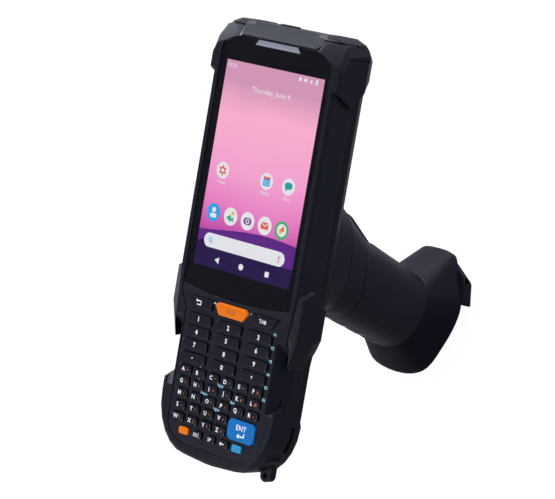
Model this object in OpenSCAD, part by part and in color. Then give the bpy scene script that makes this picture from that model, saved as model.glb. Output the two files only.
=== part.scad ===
// Handheld barcode data terminal with a full keypad, standing on its pistol grip.
// Millimetres. The origin is the centre of the sole, on the grip's axis, with +Z up that axis.
// Terminal pieces are drawn in the terminal's own frame (X across, Y from the bottom end to the
// scan end, Z out of the screen, front face at Z = 0) and set on the grip by on_terminal().

/* [Terminal] */
// Length from the bottom end to the scan end
body_l = 188.4; // [184:0.2:200]
// Width across the display rails, without the bumpers
body_w = 70; // [69:0.5:76]
// How far the waist beside the keypad lies inside the rails
waist_inset = 1.7; // [1:0.1:2.6]
// Depth from the front face to the back
body_t = 29.5; // [28.5:0.5:33]
// Depth of the seam between the front and rear housings
seam_depth = 13; // [12.5:0.5:15]
// Wall of the housings
wall = 2.2; // [1.8:0.1:2.6]
// How far the corner and side bumpers stand out
bumper_t = 1.8; // [1:0.1:2.6]
// How far the bottom bumper stands out
bottom_bumper_t = 0.8; // [0.5:0.1:1.2]

/* [Display] */
// Width of the touch glass
glass_w = 62.6; // [61:0.2:63.6]
// Where the touch glass begins at its sides, from the bottom end
glass_y = 73; // [72.8:0.2:77]
// Thickness of the touch glass
glass_t = 1.2; // [0.8:0.1:1.6]
// How deep the glass lies below the rails
glass_recess = 0.3; // [0.1:0.1:0.6]
// How far the display module lies inside the edge of the glass
display_inset = 1.6; // [1.3:0.1:2.8]
// Thickness of the display module
display_t = 2.8; // [2:0.1:3.4]

/* [Keypad] */
// Width of the keypad plate
plate_w = 53.8; // [53:0.2:56]
// Thickness of the keypad plate
plate_t = 1.5; // [1.2:0.1:1.8]
// How far the key tops stand above the plate
key_rise = 1.1; // [0.8:0.1:1.6]
// How far a key travels
key_travel = 0.7; // [0.5:0.05:0.8]
// Gap between a key and its hole
key_gap = 0.2; // [0.15:0.05:0.3]
// Number keys: width
number_w = 14.4; // [13:0.2:15]
// Number keys: height
number_h = 4; // [3.4:0.1:4.4]
// Number keys: distance between columns
number_pitch_x = 17.7; // [16.8:0.1:17.8]
// Number keys: distance between rows
number_pitch_y = 5.7; // [5.6:0.1:5.9]
// Letter keys: width
letter_w = 7.1; // [6:0.1:7.2]
// Letter keys: height
letter_h = 3.5; // [3:0.1:3.7]
// Letter keys: distance between columns
letter_pitch_x = 8.36; // [8.3:0.02:8.5]
// Letter keys: distance between rows
letter_pitch_y = 5.2; // [5:0.1:5.2]
// Thickness of the rubber keypad mat
mat_t = 1.8; // [1.2:0.1:2.4]

/* [Inside] */
// Thickness of the main circuit board
board_t = 1.2; // [1:0.1:1.6]
// Battery pack: width
battery_w = 32; // [28:0.5:34]
// Battery pack: length
battery_l = 33.6; // [30:0.5:36]
// Battery pack: thickness
battery_t = 9; // [6:0.5:10]
// Radius of the housing screws' shanks
screw_r = 1; // [0.8:0.1:1.2]
// Width of the scan window
scan_w = 34; // [28:0.5:38]

/* [Grip] */
// Lean of the terminal from the grip's square, in degrees
lean = 18; // [14:0.5:22]
// Height from the sole to the terminal's back, along the grip's axis
grip_h = 106; // [102:0.5:118]
// Where the grip's axis meets the terminal's back, from the bottom end
grip_y = 93.7; // [90:0.1:97]
// Half depth of the handle, front to back
handle_e = 18.3; // [17:0.1:19.5]
// Half width of the handle
handle_x = 17.4; // [16.5:0.1:18.5]
// Wall of the handle's shells
shell_wall = 2.4; // [2:0.1:3]
// Swing of the trigger, in degrees
trigger_swing = 7; // [5:0.5:8]
// Radius of the trigger pin
trigger_pin_r = 1.2; // [1:0.1:1.5]

/* [Foot] */
// Length of the foot ahead of the grip's axis
foot_front = 35; // [33:0.5:38]
// Length of the foot behind the grip's axis
foot_back = 25; // [24:0.5:30]
// Half width of the foot
foot_x = 22.6; // [21:0.2:25]
// Height of the foot's rim above the sole
foot_rim_z = 7; // [6.5:0.25:9]
// Thickness of the rubber sole
sole_t = 2; // [1.5:0.1:2.4]
// Radius of the lanyard hole across the foot
lanyard_r = 1.7; // [1.2:0.1:1.8]

/* [Hidden] */

skin = 0.01;
fit = 0.2;
slip = 0.02;
root = 1;
far = 60;
steps = 6;

// Terminal: what follows from the driving sizes
rail_x = body_w / 2;
waist_x = rail_x - waist_inset;
plate_x = plate_w / 2;
edge = 1.4;
bevel_l = 6.4;
bevel_depth = 5;
side_depth = 17;
back_depth = body_t - 5.5;
back_inset = [4.5, 10];
back_key_inset = [7.8, 13.3];
back_low = [3, 7];
back_high = 1.9;
bottom_bow = 1;
bottom_rx = 18;
bottom_ry = 23;
waist_y = 50;
rail_y = 82;
end_x = 22.5;
shoulder = 15.4;
shoulder_mid = [4.4, 7.4];
back_wall = wall + 0.3;
inside_back = -body_t + back_wall;

// Glass and display
glass_top_edge = 1;
glass_top = body_l - bevel_l - glass_top_edge;
glass_x = glass_w / 2;
glass_bow = 2.7;
glass_corner = [[0, 7], [0.5, 5], [1.5, 3.3], [3.2, 2.1], [5.6, 1], [8.9, 0]];
glass_under = -glass_recess - glass_t;
glass_gap = 0.15;
window_edge = 1.2;
window_y = [glass_y + 2.6, glass_top - 7];
display_w = glass_w - 2 * display_inset;
display_y = [glass_y + 3.8, glass_top - 7.2];
display_gap = 0.3;
face_t = glass_recess + glass_t + display_t + display_gap;
grille_x = 11.2;
grille_slant = 1.6;
grille_h = 2.4;

// Keypad: rows are counted up from the bottom end
plate_y = [4.6, 62, 69.5];
plate_corner = [13.4, 9.4];
plate_top_x = glass_x - 0.1;
plate_z = -glass_recess;
plate_under = plate_z - plate_t;
ledge = 1.2;
cap_r = 0.9;
flange_w = 0.5;
flange_t = 0.6;
flange_gap = 0.1;
flange_z = plate_under - flange_gap - flange_t;
stem_r = 1;
dome_gap = 0.2;
mat_z = -face_t;
bottom_row_y = 10.4;
letter_row_y = 15.6;
number_row_y = 41.9;
top_row_y = 65.9;
corner_key_x = 19;
small_pitch = 7.9;
enter_at = [2 * letter_pitch_x, letter_row_y + 2.3];
graphite = "#2b2d37";

// Waist scoops beside the keypad, as profiles across and along the body
scoop_across = [[-0.7, 1], [12, 1], [12, -9], [6.1, -9]];
scoop_along = [[27, 1], [36, -9], [49, -9], [60, 1]];
scoop_x = plate_x + 0.7;

// Bumpers and wings, as outlines seen from the side: distance along the body, depth. Those of the
// corners are measured from the scan end
corner_side = [[-21.9, 1], [-28.1, -10], [-19, -20], [-12.4, -31], [12, -31], [12, 1]];
// Their outlines from the front to the back: depth, half width, and three points of the corner
// as half width and distance to the scan end
corner_rings = [[0.2, -0.6, [-0.6, -16], [-2.4, -11.8], [-12.8, -8.2]],
    [-1.4, 0, [0, -14], [-1.4, -9], [-11.8, -5.4]],
    [-5, 0, [0, -7.4], [-2.8, -2.6], [-9.8, 0.2]],
    [-17, 0, [0, -5.5], [-3.2, -1.8], [-8.7, 0.2]],
    [-24, -4.4, [-4.4, -8], [-7, -3.9], [-12.8, -1.6]],
    [-29.5, -10, [-10, -13], [-12.6, -9.4], [-17, -6.2]]];
corner_middle = 18.3;
corner_from = 38;
corner_grooves = [[-2.6, 1], [-8.2, -4]];
groove = [1.2, 13];
wing_side = [[45, -3], [60, -0.4], [80.5, -0.4], [84.5, -8], [76, -20], [56, -20], [46, -13]];
wing_top = [[60, -3], [64, -1.6], [79, -1.6], [82, -8], [74.5, -17], [62, -17], [60, -12]];
bottom_side = [[-4, 1], [29, 1], [32.5, -6], [28, -15], [20, -19], [-4, -19]];
wing_root = 2.7;
side_slot = [16, 2.6];
side_slot_at = [16, -12];

// Screws that join the two housings: across, along, depth of the head's seat, and the corner of the
// web that ties the boss to the wall
boss_at = [[13, 7, 22.5], [22.6, 74, 27.3], [rail_x - 6.6, 133, 20.5], [16.6, body_l - 12.4, 27]];
boss_web = [[12, 1], [rail_x - 1, 73], [rail_x - 1, 132], [15.6, body_l - 1.4]];
boss_r = 3;
web_t = 2;
head_r = 2;
head_t = 1.6;
thread = [4, 5];
board_z = -seam_depth + 0.8;

// Openings in the ends and sides
power_key = [9, 3.4, 5.6];
power_at = [-1.4, -7.5];
side_key_size = [12, 3.8, 4.6];
side_key_at = [119, -8.2];
button_rise = 0.7;
button_travel = 0.6;
button_lip = [1, 0.8];
usb = [9, 6.5, 3.2];
usb_wall = 0.4;
scan_h = 6;
scan_z = -seam_depth - 4.6;
scan_seat = 1.2;
scan_y = [body_l - 4.2, body_l - 2.4];
engine = [24, 13, 10];

// Back: battery door, its latch, loudspeaker and camera
door_y = 19.8;
door_rim = 1;
battery_gap = 0.3;
battery_bay = [battery_w + 2 * battery_gap, battery_l + 2 * battery_gap];
door = [battery_bay[0] + 2 * door_rim, battery_bay[1] + 2 * door_rim];
door_t = 1.2;
door_plug = 0.7;
latch = [12, 4.4, 1.9];
latch_y = 12.6;
latch_travel = 3;
tongue = [6, 4.8, 0.6];
speaker = [15, 12, 4];
speaker_y = body_l - 48.4;
camera_y = body_l - 30.4;
camera_r = 5;
camera_flange = [6.5, 0.8];

// Strap lug at the bottom corner
lug_at = [24, 0.6];
lug_r = 2.8;
lug_hole_r = 1.2;
lug_z = [-15, -11];

// Cradle between terminal and grip
cradle_x = 20;
cradle_y = [62, 126];
cradle_t = 4;
cradle_corner = 6;
hook_x = 12;
hook = [8, 1.6, 1.4];
hook_y = 121;
hook_reach = 3.8;
neck_y = [70, 118];
neck_x = 18.5;
neck_power = 5;
neck_drop = 21;
neck_end = [66.9, 116.3];
collar_drop = 33;
collar_groove = [0.5, 0.4];
release = [13.4, 6.5, 3.5];
release_y = 60.5;
release_travel = 2;
release_tongue = [8, 2.5];
release_lip = 1.4;

// Grip, in heights above the sole
section_power = 2.3;
section_points = 32;
handle_e0 = 0.3;
handle_z = [25.5, 71.5];
handle_swell = 2;
handle_front = handle_e0 + handle_e;
scallop_r = 7;
scallop_cut = 0.9;
scallop_z = [35.5, 47.5, 59.5, 71];
trigger_face = [[0.6, 62.6], [0.9, 64.2], [1.4, 66.8], [2.3, 70.2], [3.7, 74.2], [5.7, 78.4], [8, 83.2]];
trigger_back = 12.8;
trigger_x = 9.1;
trigger_wall = 2;
trigger_seat = handle_front - 2.4;
trigger_hollow = [[12, 64.8], [trigger_seat, 64.8], [trigger_seat, 70.8], [trigger_seat + 6, 81.2], [12, 81.2]];
trigger_slot = [11, 60.9, 84];
trigger_gap = 0.4;
pivot = [9, 79];
hub_r = 3;
hub_x = 6.3;
hub_web = 2.2;
running = 0.06;
rib_x = [6.5, 8.5];
rib_side = [[-20, 84], [-20, 62], [4, 62], [6, 74], [12, 75.4], [12, 84]];
switch_box = [13, 8, 8];
switch_at = [0, 68];
plunger = [1, 8];
spring_r = 2.4;
spring_wire = 0.35;
spring_turns = 6;
clamp_at = [[-2, 36], [-8, 58]];
clamp_boss_r = 3.4;
clamp_r = 1.2;
clamp_head = [2.3, 1.8];

// Foot
foot_nose = 7.4;
foot_cheek = [[10.6, -2.9], [15.2, -11]];
foot_side_e = 12.4;
foot_heel = [7.6, [17.3, 4.8]];
foot_flare_z = 10;
spigot_h = 6;
sole_toe = [[22.3, 13.5], [17.9, 24.9], [12.7, 28.2], [5.9, 32.6]];
sole_heel = [11, -16];
sole_inset = 0.4;
foot_soft = 7;
sole_soft = 1.5;
lanyard_e = 24;

// ---------- outlines ----------

function unit(v) = v / norm(v);

// A stretch of an ellipse round c
function arc(c, rx, ry, a0, a1, n = steps) = [for (i = [0:n]) let (a = a0 + (a1 - a0) * i / n)
    [c[0] + rx * cos(a), c[1] + ry * sin(a)]];

// An outline set at a height, or stood up across X
function raised(z, pts) = [for (p = pts) [p[0], p[1], z]];
function standing(x, pts) = [for (p = pts) [x, p[0], p[1]]];

// The same points on the other side of the middle, in reverse order
function flipped(pts) = [for (i = [len(pts) - 1:-1:0]) [-pts[i][0], pts[i][1]]];
function both_sides(pts) = concat(pts, flipped(pts));

// A closed outline with each corner turned into a curve that starts d before it
function softened(pts, d, n = 4) = let (m = len(pts)) [for (i = [0:m - 1]) let (v = pts[i],
    a = pts[(i + m - 1) % m] - v, b = pts[(i + 1) % m] - v,
    p = v + unit(a) * min(d, 0.45 * norm(a)), q = v + unit(b) * min(d, 0.45 * norm(b)))
    each [for (j = [0:n]) let (t = j / n) (1 - t) * (1 - t) * p + 2 * t * (1 - t) * v + t * t * q]];

function rounded_rect(w, h, r) = [for (q = [0:3]) let (s = [[1, 1], [-1, 1], [-1, -1], [1, -1]][q])
    each arc([s[0] * (w / 2 - r), s[1] * (h / 2 - r)], r, r, 90 * q, 90 * q + 90, 3)];

// Every edge of a closed outline moved out by d
function grown(pts, d) = let (n = len(pts)) [for (i = [0:n - 1]) let (u = unit(pts[i] - pts[(i + n - 1) % n]),
    v = unit(pts[(i + 1) % n] - pts[i]), a = [u[1], -u[0]], b = [v[1], -v[0]])
    pts[i] + d * (a + b) / (1 + a * b)];

// Outline of the body: half widths at the keypad and the rails, the two ends, all moved out by g
function body_outline(key_x, side_x, low, high, g) = both_sides(concat([[2, low - g]],
    arc([key_x - bottom_rx, low + bottom_bow + bottom_ry], bottom_rx + g, bottom_ry + g, -90, 0),
    [[key_x + g, waist_y], [side_x + g, rail_y], [side_x + g, high - shoulder],
     [side_x + g - shoulder_mid[0], high - shoulder_mid[1] + g / 2],
     [side_x - rail_x + end_x + g / 2, high + g / 3]]));

// Outline of the corner bumpers in one of their rings
function corner_outline(r) = let (x = rail_x + bumper_t) both_sides(concat([[1, body_l - corner_from],
    [x + r[1], body_l - corner_from]], [for (i = [2:4]) [x + r[i][0], body_l + r[i][1]]],
    [[1, body_l + min(0.2, r[4][1])]]));

function superellipse(rx, ry, cy, power = section_power) = [for (i = [0:section_points - 1])
    let (a = 360 * i / section_points, c = cos(a), s = sin(a))
    [rx * sign(c) * pow(abs(c), 2 / power), cy + ry * sign(s) * pow(abs(s), 2 / power)]];
// Where a point of the terminal's frame lies in the grip's frame
function on_grip(p) = let (y = p[1] - grip_y, z = p[2] + body_t)
    [p[0], y * cos(lean) - z * sin(lean), y * sin(lean) + z * cos(lean) + grip_h];
function handle_section(inset, swell = 0) = superellipse(handle_x - inset, handle_e + swell / 2 - inset,
    handle_e0 + swell / 2);
// Where the neck meets the handle, in a plane parallel to the terminal's back. An inner form runs on
// past it
function neck_section(inset) = raised(-body_t - neck_drop + min(inset, root), superellipse(handle_x + 0.2 - inset,
    (neck_end[1] - neck_end[0]) / 2 - inset, (neck_end[0] + neck_end[1]) / 2));

function glass_low(x) = glass_y - glass_bow * (1 - pow(x / glass_x, 2));
function glass_outline(g) = concat([for (i = [-6:6]) let (x = i / 6 * glass_x)
        [x + sign(i) * g, glass_low(x) - g]],
    [for (p = glass_corner) [glass_x - p[0] + g, glass_top - p[1] + g]],
    flipped([for (p = glass_corner) [glass_x - p[0] + g, glass_top - p[1] + g]]));
grille_outline = [[-grille_x, glass_top], [-grille_x - grille_slant, glass_top - grille_h],
    [grille_x + grille_slant, glass_top - grille_h], [grille_x, glass_top]];

function plate_side(g) = concat(arc([plate_x - plate_corner[0], plate_y[0] + plate_corner[1]],
    plate_corner[0] + g, plate_corner[1] + g, -90, 0), [[plate_x + g, plate_y[1]], [plate_top_x + g, plate_y[2]]]);
function plate_outline(g, top_gap) = concat(plate_side(g),
    [for (i = [6:-1:-6]) let (x = i / 6 * (plate_top_x + g)) [x, glass_low(x) - top_gap]], flipped(plate_side(g)));

// ---------- keys: name, centres, outline, colour ----------

function number_at(i) = [(i % 3 - 1) * number_pitch_x, number_row_y + (3 - floor(i / 3)) * number_pitch_y];
function letters_at(row, count) = [for (col = [0:count - 1])
    [(col - 2.5) * letter_pitch_x, letter_row_y + (4 - row) * letter_pitch_y]];

number_key = rounded_rect(number_w, number_h, cap_r);
letter_key = rounded_rect(letter_w, letter_h, cap_r);
small_key = rounded_rect(5.4, 3.1, 0.8);
tab_key = [[7.6, 2.2], [-7, 2.2], [-7.6, 1.6], [-7.6, -1.6], [-7, -2.2], [3.4, -2.2], [4.8, -1.5]];
scan_key = [[6.9, -2.7], [9.4, 0.7], [9.2, 1.5], [7.8, 2.7], [-7.8, 2.7], [-9.2, 1.5], [-9.4, 0.7], [-6.9, -2.7]];
enter_key = [[-7.7, 4.1], [-7.7, -0.9], [-2.6, -4.3], [7, -4.3], [7.7, -3.6], [7.7, 4.1], [7.1, 4.7], [-7.1, 4.7]];

number_names = ["key_1", "key_2", "key_3", "key_4", "key_5", "key_6", "key_7", "key_8", "key_9",
    "key_dot", "key_0", "key_comma"];
small_names = ["key_orange", "key_escape", "key_space", "key_backspace", "key_blue"];
small_colours = ["#ff7a00", graphite, graphite, graphite, "#3aa7e0"];
letter_rows = [["keys_a_to_f", 6], ["keys_g_to_l", 6], ["keys_m_to_r", 6], ["keys_s_to_v", 4], ["keys_w_to_z", 4]];

KEYS = concat(
    [for (i = [0:11]) [number_names[i], [number_at(i)], number_key, graphite]],
    [for (i = [0:4]) [small_names[i], [[(i - 2) * small_pitch, bottom_row_y]], small_key, small_colours[i]]],
    [for (i = [0:4]) [letter_rows[i][0], letters_at(i, letter_rows[i][1]), letter_key, graphite]],
    [["key_back", [[-corner_key_x, top_row_y]], flipped(tab_key), graphite],
     ["key_scan", [[0, top_row_y]], scan_key, "#ff7a00"],
     ["key_tab", [[corner_key_x, top_row_y]], tab_key, graphite],
     ["key_enter", [enter_at], enter_key, "#0071c4"]]);

// ---------- placing and shared forms ----------

module on_terminal() translate([0, 0, grip_h]) rotate([lean, 0, 0]) translate([0, -grip_y, body_t]) children();
module at_height(z) translate([0, 0, z]) children();
module plate(z, t, pts) at_height(z) linear_extrude(t) polygon(pts);
// A closed skin over outlines with as many points each, from the highest to the lowest
module loft(rings) {
    n = len(rings[0]);
    last = len(rings) - 1;
    sides = [for (i = [0:last - 1], j = [0:n - 1]) let (k = (j + 1) % n, a = i * n, b = a + n)
        each [[a + j, a + k, b + k], [a + j, b + k, b + j]]];
    polyhedron([for (r = rings) each r],
        concat([[for (j = [n - 1:-1:0]) j]], sides, [[for (j = [0:n - 1]) last * n + j]]));
}
module mirrored() {
    children();
    mirror([1, 0, 0]) children();
}
// A profile along (Y, Z) drawn out across X
module across(x0, x1, pts) translate([x0, 0, 0]) rotate([90, 0, 90]) linear_extrude(x1 - x0) polygon(pts);
// A profile across (X, Z) drawn out along Y
module along(y0, y1, pts) translate([0, y1, 0]) rotate([90, 0, 0]) linear_extrude(y1 - y0) polygon(pts);
module box(x, y, z) translate([x[0], y[0], z[0]]) cube([x[1] - x[0], y[1] - y[0], z[1] - z[0]]);
module middle_box(w, y, z) box([-w / 2, w / 2], y, z);
module slice(z0, z1) box([-far, far], [-far, body_l + far], [z1, z0]);
module post(at, r, z0, z1) translate([at[0], at[1], z0]) cylinder(r = r, h = z1 - z0, $fn = 32);
module cross_pin(e, z, r, x0, x1) translate([x0, e, z]) rotate([0, 90, 0]) cylinder(r = r, h = x1 - x0, $fn = 32);

// The terminal's outer form, with its outline moved out by g
module body_form(g) loft([
    raised(0, body_outline(waist_x - edge, rail_x - edge, edge, body_l - bevel_l, g)),
    raised(-edge, body_outline(waist_x, rail_x, 0, body_l - bevel_l + edge, g)),
    raised(-bevel_depth, body_outline(waist_x, rail_x, 0, body_l, g)),
    raised(-side_depth, body_outline(waist_x, rail_x, 0, body_l, g)),
    raised(-back_depth, body_outline(waist_x - back_key_inset[0], rail_x - back_inset[0], back_low[0],
        body_l - back_high, g)),
    raised(-body_t, body_outline(waist_x - back_key_inset[1], rail_x - back_inset[1], back_low[1],
        body_l - bevel_l, g))]);
module cavity(z0, z1) intersection() {
    body_form(-wall);
    slice(z0, z1);
}
// The scoop beside the keypad, moved in by d
module waist_scoop(d) mirrored() intersection() {
    translate([scoop_x - d, 0, -d]) along(0, body_l, scoop_across);
    across(0, far, grown(scoop_along, -d));
}
module bosses(z0, z1) mirrored() for (i = [0:len(boss_at) - 1]) {
    post(boss_at[i], boss_r, z0, z1);
    box([min(boss_at[i][0], boss_web[i][0]), max(boss_at[i][0], boss_web[i][0] + web_t)],
        [min(boss_at[i][1], boss_web[i][1]), max(boss_at[i][1], boss_web[i][1] + web_t)], [z0, z1]);
}

// The grip's outer form, moved in by an inset
module grip_form(inset) loft([[for (p = neck_section(inset)) on_grip(p)],
    raised(handle_z[1], handle_section(inset, handle_swell)), raised(handle_z[0], handle_section(inset))]);

// ---------- housings ----------

module front_housing() color("#33353f") on_terminal() difference() {
    intersection() {
        body_form(0);
        slice(1, -seam_depth);
    }
    difference() {
        cavity(-face_t, -seam_depth - 1);
        bosses(board_z, 0);
        waist_scoop(wall);
    }
    waist_scoop(0);
    plate(glass_under, far, glass_outline(glass_gap));
    middle_box(glass_w - 2 * window_edge, window_y, [-face_t - 1, 1]);
    plate(plate_under, far, plate_outline(glass_gap, -glass_gap));
    plate(-face_t - 1, far, plate_outline(-ledge, ledge));
    mirrored() for (b = boss_at) post(b, screw_r + slip, board_z - 1, board_z + thread[1]);
    power_opening();
    side_key_opening();
}

module rear_housing() color("#24262e") on_terminal() difference() {
    intersection() {
        body_form(0);
        slice(-seam_depth, -body_t - 1);
    }
    difference() {
        cavity(-seam_depth + 1, inside_back);
        bosses(-body_t, board_z - board_t);
    }
    mirrored() for (b = boss_at) {
        post(b, screw_r + fit, -body_t - 1, -seam_depth + 1);
        post(b, head_r + fit, -body_t - 1, -b[2]);
    }
    door_opening();
    latch_opening();
    scan_opening();
    usb_opening();
    translate([0, camera_y, -body_t - 1]) cylinder(r = camera_r + fit / 2, h = back_wall + 2, $fn = 48);
    for (i = [-2:2]) middle_slot(i * 2.6, speaker_y);
    mirrored() hook_opening();
    release_opening();
}

module middle_slot(x, y) box([x - 0.6, x + 0.6], [y - 4.5, y + 4.5], [-body_t - 1, inside_back + 1]);

// Rubber over the two corners of the scan end
module corner_bumpers() color("#1d1e25") on_terminal() difference() {
    intersection() {
        loft([for (r = corner_rings) raised(r[0], corner_outline(r))]);
        translate([0, body_l, 0]) across(-far, far, corner_side);
    }
    body_form(0);
    plate(glass_under, far, glass_outline(glass_gap));
    middle_box(2 * corner_middle, [body_l - corner_from, body_l + far], [-far, far]);
    for (g = corner_grooves) translate([0, body_l + g[0] - groove[0] / 2, g[1] - groove[1]])
        middle_box(2 * far, [0, groove[0]], [0, groove[1]]);
}

// The raised hand rests beside the lower edge of the glass
module side_wings() color("#24262e") on_terminal() difference() {
    mirrored() loft([standing(rail_x - wing_root, wing_side), standing(rail_x + bumper_t, wing_top)]);
    body_form(0);
}

module bottom_bumper() color("#1d1e25") on_terminal() difference() {
    intersection() {
        body_form(bottom_bumper_t);
        across(-far, far, bottom_side);
    }
    body_form(0);
    usb_opening();
    translate([0, side_slot_at[0], side_slot_at[1]])
        middle_box(2 * far, [-side_slot[0] / 2, side_slot[0] / 2], [-side_slot[1] / 2, side_slot[1] / 2]);
}

module strap_lug() color("#101015") on_terminal() difference() {
    union() {
        post(lug_at, lug_r, lug_z[0], lug_z[1]);
        box([lug_at[0] - lug_r, lug_at[0] + lug_r], [lug_at[1], lug_at[1] + 8], lug_z);
    }
    body_form(bottom_bumper_t);
    post(lug_at, lug_hole_r, lug_z[0] - 1, lug_z[1] + 1);
}

module housing_screws() color("#8a8d94") on_terminal() mirrored() for (b = boss_at) {
    post(b, screw_r, -b[2], board_z + thread[0]);
    post(b, head_r, -b[2] - head_t, -b[2]);
}

// ---------- glass, display and keypad ----------

module touch_glass() color("#07080c") on_terminal() difference() {
    plate(glass_under, glass_t, glass_outline(0));
    plate(glass_under - 1, glass_t + 2, grown(grille_outline, fit / 2));
}

module receiver_grille() color("#b9bcc6") on_terminal() plate(glass_under, glass_t, grille_outline);

module display_panel() color("#d05fa8") on_terminal()
    middle_box(display_w, display_y, [glass_under - display_t, glass_under]);

module keypad_plate() color("#3a3c47") on_terminal() difference() {
    plate(plate_under, plate_t, plate_outline(0, glass_gap));
    for (k = KEYS, at = k[1]) translate([at[0], at[1], 0]) plate(plate_under - 1, far, grown(k[2], key_gap));
}

module keypad_mat() color("#15161b") on_terminal() difference() {
    plate(mat_z - mat_t, mat_t, plate_outline(0, fit));
    mirrored() for (b = boss_at) post(b, boss_r + fit, mat_z - mat_t - 1, mat_z + 1);
}

// A cap, the flange that keeps it under the plate, and the stem that presses its dome
module key(k) color(k[3]) on_terminal() for (at = k[1]) translate([at[0], at[1], 0]) {
    plate(flange_z, plate_z + key_rise - flange_z, k[2]);
    plate(flange_z, flange_t, grown(k[2], flange_w));
    post([0, 0], stem_r, mat_z + key_travel + dome_gap, flange_z);
}

// ---------- buttons ----------

module power_opening() translate([power_at[0], body_l, power_at[1]])
    middle_box(power_key[0] + 2 * fit, [-2 * wall, far],
        [-power_key[1] / 2 - fit, power_key[1] / 2 + fit]);

module power_button() color("#101015") on_terminal() translate([power_at[0], body_l, power_at[1]]) {
    middle_box(power_key[0], [button_rise - power_key[2], button_rise], [-power_key[1] / 2, power_key[1] / 2]);
    middle_box(power_key[0] + 2 * button_lip[0], [-wall - fit - button_lip[1], -wall - fit],
        [-power_key[1] / 2 - button_lip[0], power_key[1] / 2 + button_lip[0]]);
}

module side_key_opening() box([-far, -rail_x + 2 * wall],
    [side_key_at[0] - side_key_size[0] / 2 - fit, side_key_at[0] + side_key_size[0] / 2 + fit],
    [side_key_at[1] - side_key_size[1] / 2 - fit, side_key_at[1] + side_key_size[1] / 2 + fit]);

module side_key() color("#101015") on_terminal() translate([-rail_x, side_key_at[0], side_key_at[1]]) {
    box([-button_rise, side_key_size[2] - button_rise], [-side_key_size[0] / 2, side_key_size[0] / 2],
        [-side_key_size[1] / 2, side_key_size[1] / 2]);
    box([wall + fit, wall + fit + button_lip[1]],
        [-side_key_size[0] / 2 - button_lip[0], side_key_size[0] / 2 + button_lip[0]],
        [-side_key_size[1] / 2 - button_lip[0], side_key_size[1] / 2 + button_lip[0]]);
}

// ---------- inside the terminal ----------

module main_board() color("#1f5a3a") on_terminal() difference() {
    plate(board_z - board_t, board_t, body_outline(waist_x, rail_x, 0, body_l, -wall - 0.6));
    mirrored() for (b = boss_at) post(b, screw_r + fit, board_z - board_t - 1, board_z + 1);
}

module battery_pack() color("#2e3138") on_terminal() at_height(-body_t + door_t + door_plug)
    translate([0, door_y + door[1] / 2, 0])
    linear_extrude(battery_t) polygon(rounded_rect(battery_w, battery_l, 1.5));

module door_opening() {
    middle_box(door[0] + 2 * fit, [door_y - fit, door_y + door[1] + fit], [-body_t - 1, -body_t + door_t]);
    middle_box(battery_bay[0], [door_y + door_rim, door_y + door_rim + battery_bay[1]],
        [-body_t - 1, inside_back + 1]);
}

module battery_door() color("#24262e") on_terminal() difference() {
    union() {
        middle_box(door[0], [door_y, door_y + door[1]], [-body_t, -body_t + door_t]);
        middle_box(battery_w, [door_y + door_rim + battery_gap, door_y + door_rim + battery_gap + battery_l],
            [-body_t + door_t, -body_t + door_t + door_plug]);
    }
    middle_box(tongue[0] + 2 * fit, [door_y - 1, door_y + 2.4], [-body_t - 1, -body_t + tongue[2] + fit]);
}

module latch_opening() {
    middle_box(latch[0] + 2 * fit, [latch_y - latch_travel - fit, latch_y + latch[1] + fit],
        [-body_t - 1, -body_t + latch[2] + fit]);
    middle_box(tongue[0] + 2 * fit, [latch_y, door_y + 1], [-body_t - 1, -body_t + tongue[2] + fit]);
}

module battery_latch() color("#ff7a00") on_terminal() {
    middle_box(latch[0], [latch_y, latch_y + latch[1]], [-body_t, -body_t + latch[2]]);
    middle_box(tongue[0], [latch_y + latch[1], latch_y + latch[1] + tongue[1]], [-body_t, -body_t + tongue[2]]);
}

module scan_opening() {
    middle_box(scan_w, [scan_y[0] - 2 * wall, body_l + far], [scan_z - scan_h / 2, scan_z + scan_h / 2]);
    middle_box(scan_w + 2 * scan_seat, [scan_y[0] - wall, scan_y[1]],
        [scan_z - scan_h / 2 - scan_seat / 2, scan_z + scan_h / 2 + scan_seat / 2]);
}

module scan_window() color("#3a0a12") on_terminal() middle_box(scan_w + 2 * scan_seat - 2 * slip,
    scan_y, [scan_z - scan_h / 2 - scan_seat / 2 + slip, scan_z + scan_h / 2 + scan_seat / 2 - slip]);

module scan_engine() color("#3b3f4a") on_terminal() middle_box(engine[0], [scan_y[0] - engine[1], scan_y[0]],
    [board_z - board_t - engine[2], board_z - board_t]);

module usb_opening() middle_box(usb[0] + 2 * fit, [-far, 2 * wall],
    [board_z - board_t - usb[2] - fit, board_z - board_t]);

module usb_port() color("#a9acb3") on_terminal() difference() {
    middle_box(usb[0], [0.6, 0.6 + usb[1]], [board_z - board_t - usb[2], board_z - board_t]);
    middle_box(usb[0] - 2 * usb_wall, [0, usb[1] - 0.6],
        [board_z - board_t - usb[2] + usb_wall, board_z - board_t - usb_wall]);
}

module rear_camera() color("#0c0d12") on_terminal() translate([0, camera_y, 0]) {
    at_height(-body_t) cylinder(r = camera_r, h = back_wall + 3, $fn = 48);
    at_height(-body_t - camera_flange[1]) cylinder(r = camera_flange[0], h = camera_flange[1], $fn = 48);
}

module loudspeaker() color("#3b3f4a") on_terminal()
    middle_box(speaker[0], [speaker_y - speaker[1] / 2, speaker_y + speaker[1] / 2],
        [inside_back, inside_back + speaker[2]]);

// ---------- cradle ----------

module hook_opening() box([hook_x - hook[0] / 2 - fit, hook_x + hook[0] / 2 + fit],
    [hook_y - fit, hook_y + hook_reach], [-body_t - 1, inside_back + 1]);

module hooks() mirrored() {
    box([hook_x - hook[0] / 2, hook_x + hook[0] / 2], [hook_y, hook_y + hook[1]],
        [-body_t - root, inside_back + hook[2] + 0.1]);
    box([hook_x - hook[0] / 2, hook_x + hook[0] / 2], [hook_y, hook_y + hook_reach + 1.2],
        [inside_back + 0.1, inside_back + hook[2] + 0.1]);
}

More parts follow.
